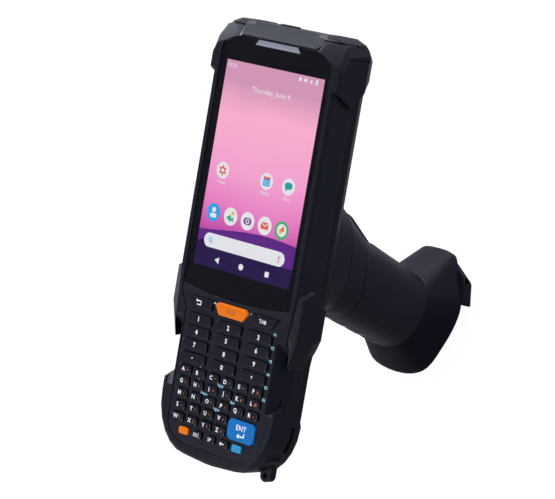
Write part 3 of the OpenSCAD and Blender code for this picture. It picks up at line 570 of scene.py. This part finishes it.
def strip(film, x, y, width, high, layer=0, turn=0.0):
    bpy.ops.mesh.primitive_plane_add(size=1, location=(x * mm, y * mm, 0), rotation=(0, 0, math.radians(turn)))
    bpy.context.object.scale = (width * mm, high * mm, 1)
    keep_sign(film, layer)


def pill(film, x, y, width, high, layer=0):
    """A disc whose halves are drawn apart."""
    piece = disc(film, x, y, high / 2, layer, sides=32)
    bpy.ops.object.mode_set(mode="EDIT")
    for side in (1, -1):
        select_where(piece, "VERT", lambda corner: (corner.co.x > -1e-7) == (side > 0))
        bpy.ops.transform.translate(value=(side * (width - high) / 2 * mm, 0, 0))
    bpy.ops.object.mode_set(mode="OBJECT")


def lettering(text, x, y, z, size, thick=0.0, bold=0.0, curve_steps=3):
    """Letters as a mesh, centred on a place of the terminal."""
    bpy.ops.object.text_add()
    line = bpy.context.object
    line.data.body = text
    line.data.size = size * mm
    line.data.extrude = thick
    line.data.offset = bold * size * mm
    line.data.resolution_u = curve_steps
    only(line)
    bpy.ops.object.convert(target="MESH")
    bpy.ops.object.origin_set(type="ORIGIN_GEOMETRY", center="BOUNDS")
    line = bpy.context.object
    line.location = (x * mm, y * mm, z)
    return line


def words(film, text, x, y, size):
    lettering(text, x, y, 0, size)
    keep_sign(film)


words("white", "10:24", -24.6, 168.1, 2.5)
for x, wide, high in ((14.6, 1.5, 1.5), (17.6, 1.6, 1.4), (23.9, 1.1, 2.1)):
    strip("white", x, 168.4, wide, high)
disc("white", 20.8, 168.2, 1.0, sides=3, turn=90)
words("white", "Thursday, June 4", -0.4, 159.6, 3.3)

disc("white", -20.2, 123.4, 3.6)
for turn in (0, 60, 120):
    strip("coral", -20.2, 123.4, 0.9, 4.6, 1, turn)
disc("coral", -20.2, 123.4, 1.5, 2)
disc("white", -20.2, 123.4, 0.8, 3)
disc("white", 5.6, 123.4, 3.6)
strip("sky_blue", 5.6, 123.2, 3.8, 3.6, 1)
strip("coral", 5.6, 124.9, 3.8, 1.0, 2)
for x in (4.6, 5.6, 6.6):
    for y in (123.4, 122.3):
        strip("white", x, y, 0.5, 0.5, 2)
disc("white", 18.2, 123.4, 3.6)
pill("teal", 18.2, 123.8, 4.4, 2.9, 1)
disc("teal", 17.2, 122.2, 0.9, 1, sides=3, turn=210)
for x, name in ((-20.2, "Tools"), (5.6, "Dates"), (18.2, "Chat")):
    words("white", name, x, 118.4, 2.1)

dock = (-21.4, -11.3, -1.3, 8.7, 18.5)
disc("sky_blue", dock[0], 105, 3.9)
disc("white", dock[0], 106.1, 1.15, 1)
pill("white", dock[0], 103.6, 3.8, 1.9, 1)
disc("white", dock[1], 105, 3.9)
disc("amber", dock[1] + 1.1, 106.6, 0.8, 1)
disc("green", dock[1] - 0.7, 104.3, 1.9, 1, sides=3, turn=90)
disc("teal", dock[1] + 1.1, 103.9, 1.3, 2, sides=3, turn=90)
disc("white", dock[2], 105, 3.9)
pill("plum", dock[2], 104.9, 4.6, 3.1, 1)
disc("white", dock[2], 104.9, 1.1, 2)
disc("plum", dock[2], 104.9, 0.6, 3)
disc("white", dock[3], 105, 3.9)
strip("coral", dock[3], 105, 4.4, 3.0, 1)
strip("white", dock[3] - 1.05, 105.6, 2.7, 0.4, 2, -35)
strip("white", dock[3] + 1.05, 105.6, 2.7, 0.4, 2, 35)
disc("green", dock[4], 105, 3.9)
disc("white", dock[4], 105, 2.7, 1)
disc("amber", dock[4] - 0.45, 104.45, 1.5, 2, sides=3, turn=45)
disc("coral", dock[4] + 0.45, 105.55, 1.5, 3, sides=3, turn=225)

pill("white", -0.7, 93, 47.2, 6.2)
disc("sky_blue", -20.6, 93.2, 1.0, 1)
disc("white", -20.6, 93.2, 0.6, 2)
strip("sky_blue", -19.8, 92.3, 1.3, 0.45, 1, -45)
strip("coral", 19.5, 93.4, 0.7, 1.9, 1)
strip("coral", 19.5, 91.8, 1.7, 0.35, 1)
disc("white", -14.6, 85.3, 1.7, sides=3, turn=90)
disc("white", -0.7, 85.3, 1.35)
strip("white", 14.4, 85.3, 2.3, 2.3)

for name, (material, pieces) in films.items():
    joined("signs_" + name, pieces, material)

# ---- Receiver grille -------------------------------------------------------------------------------
# A bright woven strip with slanted ends, let into the top edge of the glass in front of the earpiece.
woven, nodes, links, surface = new_material("bright_mesh")
surface.inputs["Metallic"].default_value = 0.6
place = nodes.new("ShaderNodeTexCoord")
cells = nodes.new("ShaderNodeTexVoronoi")
cells.inputs["Scale"].default_value = 2200
cells.inputs["Randomness"].default_value = 0.0
links.new(place.outputs["Object"], cells.inputs["Vector"])
holes = nodes.new("ShaderNodeValToRGB")
holes.color_ramp.elements[0].position = 0.18
holes.color_ramp.elements[0].color = (0.05, 0.05, 0.06, 1)
holes.color_ramp.elements[1].position = 0.4
holes.color_ramp.elements[1].color = (0.46, 0.47, 0.53, 1)
links.new(cells.outputs["Distance"], holes.inputs["Fac"])
links.new(holes.outputs["Color"], surface.inputs["Base Color"])
weave = nodes.new("ShaderNodeBump")
weave.inputs["Strength"].default_value = 0.6
weave.inputs["Distance"].default_value = 0.0001
links.new(cells.outputs["Distance"], weave.inputs["Height"])
links.new(weave.outputs["Normal"], surface.inputs["Normal"])
surface.inputs["Roughness"].default_value = 0.38
rounded("receiver_mesh", "receiver_grille", 0.15 * mm, woven)

# ---- Keypad plate ----------------------------------------------------------------------------------
# The plate round the keys is a thin satin moulding set into the front housing.
# Light blue marks for the second functions are printed beside and between the keys.
plate_satin = moulded("plate_satin", (0.0130, 0.0136, 0.0215), 0.36, grain=1900, depth=0.08, mottle=0.08)
rounded("key_plate", "keypad_plate", 0.12 * mm, plate_satin)
plate_top = -0.3 * mm
key_top = 0.8 * mm
crown = 0.1 * mm
ink_t = 0.02 * mm


def printed(name, color, glow):
    """Ink lit from behind, a little uneven."""
    material, nodes, links, surface = new_material(name)
    surface.inputs["Roughness"].default_value = 0.45
    surface.inputs["Emission Strength"].default_value = glow
    place = nodes.new("ShaderNodeTexCoord")
    patchy = nodes.new("ShaderNodeTexNoise")
    patchy.inputs["Scale"].default_value = 1400
    patchy.inputs["Detail"].default_value = 2
    links.new(place.outputs["Object"], patchy.inputs["Vector"])
    ink = nodes.new("ShaderNodeMix")
    ink.data_type = "RGBA"
    ink.inputs["A"].default_value = (*[0.75 * c for c in color], 1)
    ink.inputs["B"].default_value = (*color, 1)
    links.new(patchy.outputs["Fac"], ink.inputs["Factor"])
    links.new(ink.outputs["Result"], surface.inputs["Base Color"])
    links.new(ink.outputs["Result"], surface.inputs["Emission Color"])
    return material


white_ink = printed("white_ink", (0.86, 0.88, 0.92), 0.35)
blue_ink = printed("blue_ink", (0.34, 0.68, 0.90), 0.45)
orange_ink = printed("orange_ink", (0.80, 0.17, 0.06), 0.15)


def mark(text, x, y, size, z, bold=0.02):
    """Printed letters, a few hundredths of a millimetre thick."""
    return lettering(text, x, y, z, size, thick=ink_t, bold=bold, curve_steps=2)


marks = [mark("F%d" % (i + 1), 25.6, y, 1.75, plate_top)
         for i, y in enumerate((61.9, 56.2, 50.5, 44.8, 39.2, 33.9))]
for text, x, y in (("PgUp", 0.2, 33.8), ("Home", -8.4, 28.6), ("End", 8.4, 28.6), ("PgDn", 0.2, 23.4),
                   ("\u2022", -13.0, 39.0), ("\u2022", -12.8, 33.8)):
    marks.append(mark(text, x, y, 1.6, plate_top))
joined("second_function_marks", marks, blue_ink)

lens_white = printed("lens_white", (0.62, 0.63, 0.74), 0.15)
lights = []
for side in (-1, 1):
    bpy.ops.mesh.primitive_uv_sphere_add(segments=16, ring_count=8, radius=0.5 * mm,
                                         location=(10.9 * side * mm, 67.4 * mm, plate_top))
    bead = bpy.context.object
    bead.scale = (1.7, 0.8, 0.5)
    bead.rotation_euler.z = math.radians(12 * side)
    lights.append(bead)
joined("plate_lights", lights, lens_white)

# ---- Keys ------------------------------------------------------------------------------------------
# Each key is a hard cap with a crowned top and broken edges, on a stem over its dome.
# Its sign is printed on the crown and travels with it.
def crowned(margin):
    """Insets the top of each cap and lifts the middle."""
    def on_top(face):
        level = (to_terminal @ face.calc_center_median()).z
        return face.normal.dot(out_of_screen) > 0.99 and level > key_top - 0.2 * mm

    def shape_top(piece):
        bpy.ops.object.mode_set(mode="EDIT")
        select_where(piece, "FACE", on_top)
        bpy.ops.mesh.inset(thickness=margin)
        bpy.ops.transform.translate(value=out_of_screen * crown)
        bpy.ops.object.mode_set(mode="OBJECT")
    return shape_top


sign_level = key_top + crown
cap_graphite = moulded("cap_graphite", (0.0068, 0.0068, 0.0128), 0.3, grain=2600, depth=0.06, mottle=0.1,
                       specular=0.22)
cap_orange = moulded("cap_orange", (0.93, 0.205, 0.004), 0.36, grain=2600, depth=0.05, mottle=0.08)
cap_blue = moulded("cap_blue", (0.006, 0.175, 0.50), 0.36, grain=2600, depth=0.05, mottle=0.08)
cap_light_blue = moulded("cap_light_blue", (0.035, 0.33, 0.62), 0.36, grain=2600, depth=0.05, mottle=0.08)


def cap(node, material, margin, edge=0.32 * mm):
    """The cap of a key, with its top crowned inside a margin."""
    rounded("cap_" + node.split("_", 1)[1], node, edge, material, body=node + "_body", segments=3,
            shaping=crowned(margin))


def key_sign(node, pieces, ink=white_ink):
    """The sign of a key, on the key's body."""
    joined("sign_" + node.split("_", 1)[1], pieces, ink, body=node + "_body")


number_pitch = (17.7, 5.7)
number_row_y = 59.0
names = ("1", "2", "3", "4", "5", "6", "7", "8", "9", "dot", "0", "comma")
for i, (name, text) in enumerate(zip(names, "123456789.0,")):
    node = "key_" + name
    cap(node, cap_graphite, margin=1.0 * mm)
    size = 2.9 if text.isdigit() else 4.2
    key_sign(node, [mark(text, (i % 3 - 1) * number_pitch[0], number_row_y - number_pitch[1] * (i // 3), size,
                         sign_level)])

letter_pitch = (8.36, 5.2)
letter_row_y = 36.4
rows = (("a_to_f", "ABCDEF", "+-*/=%"), ("g_to_l", "GHIJKL", "()<>&@"), ("m_to_r", "MNOPQR", ";:?!'\""),
        ("s_to_v", "STUV", "_|~^"), ("w_to_z", "WXYZ", "[]{}"))
for row, (name, letters, seconds) in enumerate(rows):
    node = "keys_" + name
    cap(node, cap_graphite, margin=0.7 * mm)
    y = letter_row_y - letter_pitch[1] * row
    places = [(column - 2.5) * letter_pitch[0] for column in range(len(letters))]
    for kind, texts, right, up, size, ink in (("letters_", letters, -0.8, 0, 2.55, white_ink),
                                              ("seconds_", seconds, 1.6, -0.1, 1.5, orange_ink)):
        joined(kind + name, [mark(text, x + right, y + up, size, sign_level) for text, x in zip(texts, places)],
               ink, body=node + "_body")


def flat_strip(x, y, width, high, turn=0.0):
    bpy.ops.mesh.primitive_cube_add(size=1, location=(x * mm, y * mm, sign_level),
                                    rotation=(0, 0, math.radians(turn)))
    bpy.context.object.scale = (width * mm, high * mm, 0.04 * mm)
    return bpy.context.object


cap("key_back", cap_graphite, margin=0.9 * mm)
key_sign("key_back", [flat_strip(*bar) for bar in (
    (-19.4, 66.7, 2.6, 0.42), (-19.0, 65.1, 2.2, 0.42), (-17.9, 65.9, 0.42, 2.0),
    (-20.4, 66.95, 0.9, 0.36, 45), (-20.4, 66.45, 0.9, 0.36, -45))])
cap("key_tab", cap_graphite, margin=0.9 * mm)
key_sign("key_tab", [mark("TAB", 18.6, 65.9, 2.3, sign_level, bold=0.008)])
cap("key_scan", cap_orange, margin=1.1 * mm, edge=0.4 * mm)
dark_orange_ink = printed("dark_orange_ink", (0.55, 0.10, 0.003), 0.1)
key_sign("key_scan", [flat_strip(x, 65.9, width, 2.2) for x, width in (
    (-2.4, 0.5), (-1.6, 0.25), (-0.8, 0.6), (0.1, 0.25), (0.8, 0.4), (1.6, 0.25), (2.4, 0.5))],
    dark_orange_ink)


def broad_cap(piece):
    """Rounds the corners of the enter cap and draws its lower left corner out over the plate."""
    middle = Vector((16.72, 17.9, 0)) * mm
    over_plate = key_top - 0.38 * mm
    near = 0.018 * mm

    def on_lower_left(face):
        facing = turned_back @ face.normal
        level = (to_terminal @ face.calc_center_median()).z
        return level > over_plate and facing.x < -0.4 and facing.y < -0.6

    bpy.ops.object.mode_set(mode="EDIT")
    for level in (plate_top + 0.03 * mm, over_plate):
        bpy.ops.mesh.select_all(action="SELECT")
        bpy.ops.mesh.bisect(plane_co=terminal_place @ Vector((0, 0, level)), plane_no=out_of_screen)
    select_where(piece, "FACE", on_lower_left)
    bpy.ops.mesh.extrude_region_move(
        TRANSFORM_OT_translate={"value": turned @ Vector((-0.02, -0.03, 0)) * mm})
    for x, y, new_x, new_y, above_level in (
            (-7.72, -0.93, -7.6, -2.7, over_plate), (-2.62, -4.33, -5.9, -4.25, over_plate),
            (-7.7, 4.1, -7.7, 3.1, plate_top), (-7.1, 4.7, -6.1, 4.7, plate_top),
            (7.7, 4.1, 7.7, 3.1, plate_top), (7.1, 4.7, 6.1, 4.7, plate_top),
            (7, -4.3, 6.0, -4.3, plate_top), (7.7, -3.6, 7.7, -2.7, plate_top)):
        def at_corner(corner):
            at = to_terminal @ corner.co - middle
            return at.z > above_level - 0.005 * mm and math.hypot(at.x - x * mm, at.y - y * mm) < near

        select_where(piece, "VERT", at_corner)
        bpy.ops.transform.translate(value=turned @ Vector((new_x - x, new_y - y, 0)) * mm)
    bpy.ops.mesh.select_mode(type="FACE")
    bpy.ops.object.mode_set(mode="OBJECT")
    crowned(1.1 * mm)(piece)


rounded("cap_enter", "key_enter", 0.4 * mm, cap_blue, body="key_enter_body", segments=3,
        shaping=broad_cap)
key_sign("key_enter", [mark("ENT", 16.9, 19.5, 3.2, sign_level, bold=0.008), *(flat_strip(*bar) for bar in (
    (17.2, 16.0, 3.8, 0.55), (18.9, 16.7, 0.55, 1.8),
    (15.6, 16.35, 1.5, 0.5, 40), (15.6, 15.65, 1.5, 0.5, -40)))])
cap("key_orange", cap_orange, margin=0.8 * mm)
cap("key_blue", cap_light_blue, margin=0.8 * mm)
for node, text, x in (("key_escape", "ESC", -7.9), ("key_space", "SP", 0)):
    cap(node, cap_graphite, margin=0.7 * mm)
    key_sign(node, [mark(text, x, 10.4, 2.15, sign_level, bold=0.006)])
cap("key_backspace", cap_graphite, margin=0.7 * mm)
key_sign("key_backspace", [flat_strip(*bar) for bar in (
    (7.5, 10.4, 2.2, 0.45), (6.6, 10.7, 1.0, 0.4, 40), (6.6, 10.1, 1.0, 0.4, -40))])

# ---- Inside the terminal -----------------------------------------------------------------------------
# Rubber mat with the domes, main board, battery pack, scan engine, loudspeaker and USB socket.
# They sit between the housings and show only through the openings.
def dress(node, material):
    """Gives a CAD node its material, where its own shape is shown as it is."""
    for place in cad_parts[node].material_slots:
        place.material = material


steel, nodes, links, surface = new_material("steel")
surface.inputs["Base Color"].default_value = (0.48, 0.48, 0.50, 1)
surface.inputs["Metallic"].default_value = 1.0
place = nodes.new("ShaderNodeTexCoord")
scratch = nodes.new("ShaderNodeTexNoise")
scratch.inputs["Scale"].default_value = 700
scratch.inputs["Detail"].default_value = 4
dull = nodes.new("ShaderNodeMapRange")
dull.inputs["To Min"].default_value = 0.225
dull.inputs["To Max"].default_value = 0.39
ripple = nodes.new("ShaderNodeBump")
ripple.inputs["Strength"].default_value = 0.15
ripple.inputs["Distance"].default_value = 0.00003
links.new(place.outputs["Object"], scratch.inputs["Vector"])
links.new(scratch.outputs["Fac"], dull.inputs["Value"])
links.new(dull.outputs["Result"], surface.inputs["Roughness"])
links.new(scratch.outputs["Fac"], ripple.inputs["Height"])
links.new(ripple.outputs["Normal"], surface.inputs["Normal"])
dress("keypad_mat", moulded("mat_rubber", (0.012, 0.012, 0.016), 0.7, grain=2400, depth=0.2))
dress("main_board", moulded("board_green", (0.012, 0.09, 0.045), 0.4, grain=900, depth=0.3, mottle=0.35))
inner_black = moulded("inner_black", (0.012, 0.0125, 0.016), 0.5)
for node in ("battery_pack", "scan_engine", "loudspeaker"):
    dress(node, inner_black)
dress("usb_port", steel)

# ---- Scan window and rear camera -----------------------------------------------------------------------
# The scan window is dark red glass let into the scan end.
# The camera is a black ring round a domed lens in the middle of the back.
red_glass = moulded("red_glass", (0.035, 0.003, 0.006), 0.08, grain=30, depth=0.0, mottle=0.15, coat=1.0)
rounded("red_window", "scan_window", 0.15 * mm, red_glass)
ring_black = moulded("ring_black", (0.008, 0.008, 0.011), 0.3, grain=2600, depth=0.05)


def set_back_lens(piece):
    """Sinks the middle of the camera's face and leaves a stepped ring."""
    def on_back(face):
        level = (to_terminal @ face.calc_center_median()).z
        return face.normal.dot(out_of_screen) < -0.99 and level < -30 * mm

    bpy.ops.object.mode_set(mode="EDIT")
    select_where(piece, "FACE", on_back)
    for width, depth in ((1.5, 0.35), (0.6, 0.25)):
        bpy.ops.mesh.inset(thickness=width * mm)
        bpy.ops.transform.translate(value=out_of_screen * depth * mm)
    bpy.ops.object.mode_set(mode="OBJECT")


rounded("camera_ring", "rear_camera", 0.12 * mm, ring_black, shaping=set_back_lens)
lens_glass = moulded("lens_glass", (0.012, 0.013, 0.045), 0.04, grain=60, depth=0.0, mottle=0.6, coat=1.0)
bpy.ops.mesh.primitive_uv_sphere_add(segments=40, ring_count=20, radius=4.2 * mm,
                                     location=(0, 158 * mm, -29.65 * mm))
dome = bpy.context.object
dome.scale.z = 0.12
bpy.ops.object.shade_smooth()
joined("camera_lens", [dome], lens_glass)

# ---- Buttons, latches and screws -------------------------------------------------------------------------
# Black power button at the scan end and side key at the left, each with a broken edge.
# Orange battery latch and black cradle latch at the back, and steel screws with a cross in the head.
button_black = moulded("button_black", (0.010, 0.010, 0.014), 0.42, grain=2600, depth=0.08)
rounded("power_cap", "power_button", 0.3 * mm, button_black, body="power_button_body",
        segments=3)
rounded("side_cap", "side_key", 0.4 * mm, button_black, body="side_key_body", segments=3)
rounded("door_latch", "battery_latch", 0.2 * mm, cap_orange, body="battery_latch_body")
rounded("grip_latch", "cradle_latch", 0.3 * mm, button_black, body="cradle_latch_body")
rounded("screws", "housing_screws", 0.15 * mm, steel)

# ---- Cradle and handle -------------------------------------------------------------------------------
# A flat cradle hooks into the terminal's back and runs down into the handle.
# The handle is two shells that meet on the middle line, with finger hollows in front of the palm.
grip_charcoal = moulded("grip_charcoal", (0.0052, 0.0052, 0.0120), 0.34, grain=1700, depth=0.14, mottle=0.14,
                        specular=0.22)
rounded("cradle", "grip_cradle", 0.4 * mm, grip_charcoal, segments=3, angle=34)
trigger_black = moulded("trigger_black", (0.0062, 0.0062, 0.0124), 0.4, grain=2200, depth=0.1)


def hand_round(piece):
    """Cuts the lever's front to an oval that follows the handle's round form."""
    foot, head = Vector((0, 19.4, 62.6)) * mm, Vector((0, 26.5, 83.2)) * mm
    half_width, half_depth, length = 13 * mm, 10 * mm, 40 * mm
    axis = (head - foot).normalized()
    bpy.ops.mesh.primitive_cylinder_add(vertices=64, radius=1, depth=1)
    oval = bpy.context.object
    oval.scale = (half_width, half_depth, length)
    oval.rotation_euler.x = -math.atan2(axis.y, axis.z)
    oval.location = (foot + head) / 2 - Vector((0, axis.z, -axis.y)) * half_depth
    merge_into(piece, oval, "INTERSECT")


rounded("trigger_lever", "trigger", 0.3 * mm, trigger_black, body="trigger_body", segments=3,
        angle=34, shaping=hand_round)
rounded("handle_left", "grip_shell_left", 0.3 * mm, grip_charcoal, angle=34)
rounded("handle_right", "grip_shell_right", 0.3 * mm, grip_charcoal, angle=34)
dress("trigger_pin", steel)
dress("trigger_spring", steel)
dress("trigger_switch", inner_black)
dress("grip_screws", steel)

# ---- Foot and sole -------------------------------------------------------------------------------------
# The foot flares out from the handle to a rim, over a deeper block at its toe.
# A soft black rubber sole is glued under it.
foot_charcoal = moulded("foot_charcoal", (0.0046, 0.0046, 0.0096), 0.44, grain=1700, depth=0.14, mottle=0.14,
                        specular=0.1)
rounded("foot", "grip_foot", 0.6 * mm, foot_charcoal, segments=3, angle=25)
sole_black = moulded("sole_black", (0.011, 0.011, 0.013), 0.75, grain=1200, depth=0.3)
rounded("sole", "foot_sole", 0.3 * mm, sole_black)
